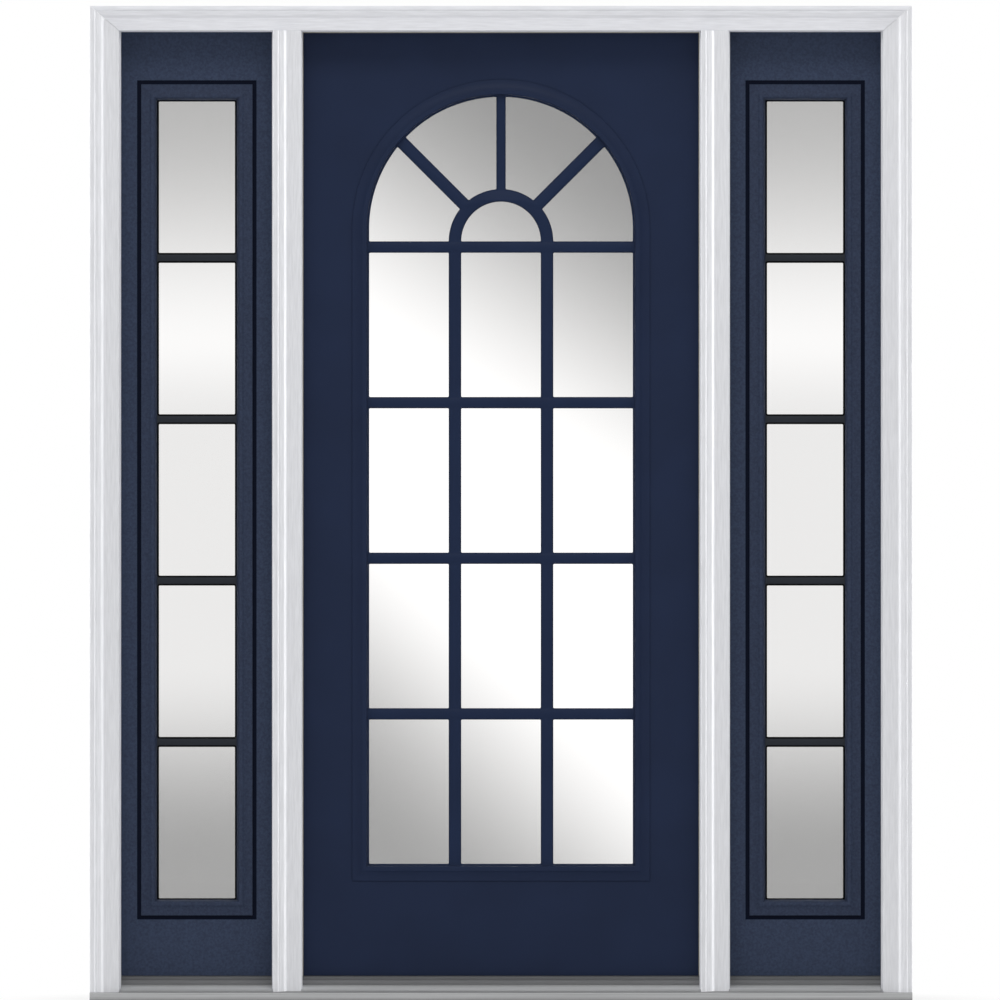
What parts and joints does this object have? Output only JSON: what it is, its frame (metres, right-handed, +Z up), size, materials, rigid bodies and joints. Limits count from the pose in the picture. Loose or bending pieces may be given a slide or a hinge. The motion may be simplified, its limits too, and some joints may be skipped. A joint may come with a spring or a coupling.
{
  "type": "entry door with sidelights",
  "caption": "Inswing entry door with an arched divided lite and a fan of glazing bars, between fixed sidelights, in a white moulded frame on a metal sill.",
  "frame": {"origin": "middle of the sill's underside across the unit, in the middle of the frame's depth", "axes": "+X to the right as seen from outside, +Y into the house, +Z up"},
  "size_m": [1.74, 0.175, 2.1035],
  "materials": {
    "frame_paint": "white satin paint on wood",
    "leaf_wood": "bare laminated wood, painted navy at its edges",
    "foam_core": "rigid foam, hidden",
    "door_paint": "navy satin paint on a smooth fibreglass skin",
    "panel_paint": "navy satin paint, finely stippled",
    "lite_frame_paint": "navy satin paint on a moulded frame",
    "bar_paint": "navy satin paint on glazing bars",
    "glass": "clear insulating glass",
    "sill_metal": "mill finish, extruded",
    "sill_base": "dense composite",
    "cap": "composite cap",
    "seal": "tan foam in a soft sleeve",
    "sweep_rubber": "black soft vinyl",
    "hinge_metal": "satin metal"
  },
  "bodies": {
    "frame": {"sill_deck": "sill_metal", "sill_base": "sill_base", "threshold_cap": "cap", "sidelight_caps": "cap", "left_jamb": "frame_paint", "right_jamb": "frame_paint", "head_jamb": "frame_paint", "left_mullion": "frame_paint", "right_mullion": "frame_paint", "left_casing": "frame_paint", "right_casing": "frame_paint", "head_casing": "frame_paint", "left_mull_casing": "frame_paint", "right_mull_casing": "frame_paint", "weatherstrip_hinge_side": "seal", "weatherstrip_lock_side": "seal", "weatherstrip_head": "seal", "hinge_jamb_leaves": "hinge_metal", "hinge_pins": "hinge_metal", "left_sidelight_panel": "panel_paint", "left_sidelight_glass": "glass", "left_lite_frame_outside": "panel_paint", "left_grille_outside": "bar_paint", "left_lite_frame_inside": "panel_paint", "left_grille_inside": "bar_paint", "right_sidelight_panel": "panel_paint", "right_sidelight_glass": "glass", "right_lite_frame_outside": "panel_paint", "right_grille_outside": "bar_paint", "right_lite_frame_inside": "panel_paint", "right_grille_inside": "bar_paint"},
    "leaf": {"hinge_stile": "leaf_wood", "lock_stile": "leaf_wood", "top_rail": "leaf_wood", "bottom_rail": "leaf_wood", "door_core": "foam_core", "skin_outside": "door_paint", "skin_inside": "door_paint", "door_glass": "glass", "lite_frame_outside": "lite_frame_paint", "lite_frame_inside": "lite_frame_paint", "grille_outside": "bar_paint", "grille_inside": "bar_paint", "door_sweep": "sweep_rubber", "hinge_door_leaves": "hinge_metal"}
  },
  "joints": [
    {"name": "door_swing", "type": "hinge", "parent": "frame", "child": "leaf", "pos_m": [-0.431, 0.067, 0.0505], "axis": [0, 0, 1], "range_deg": [0, 110]}
  ]
}
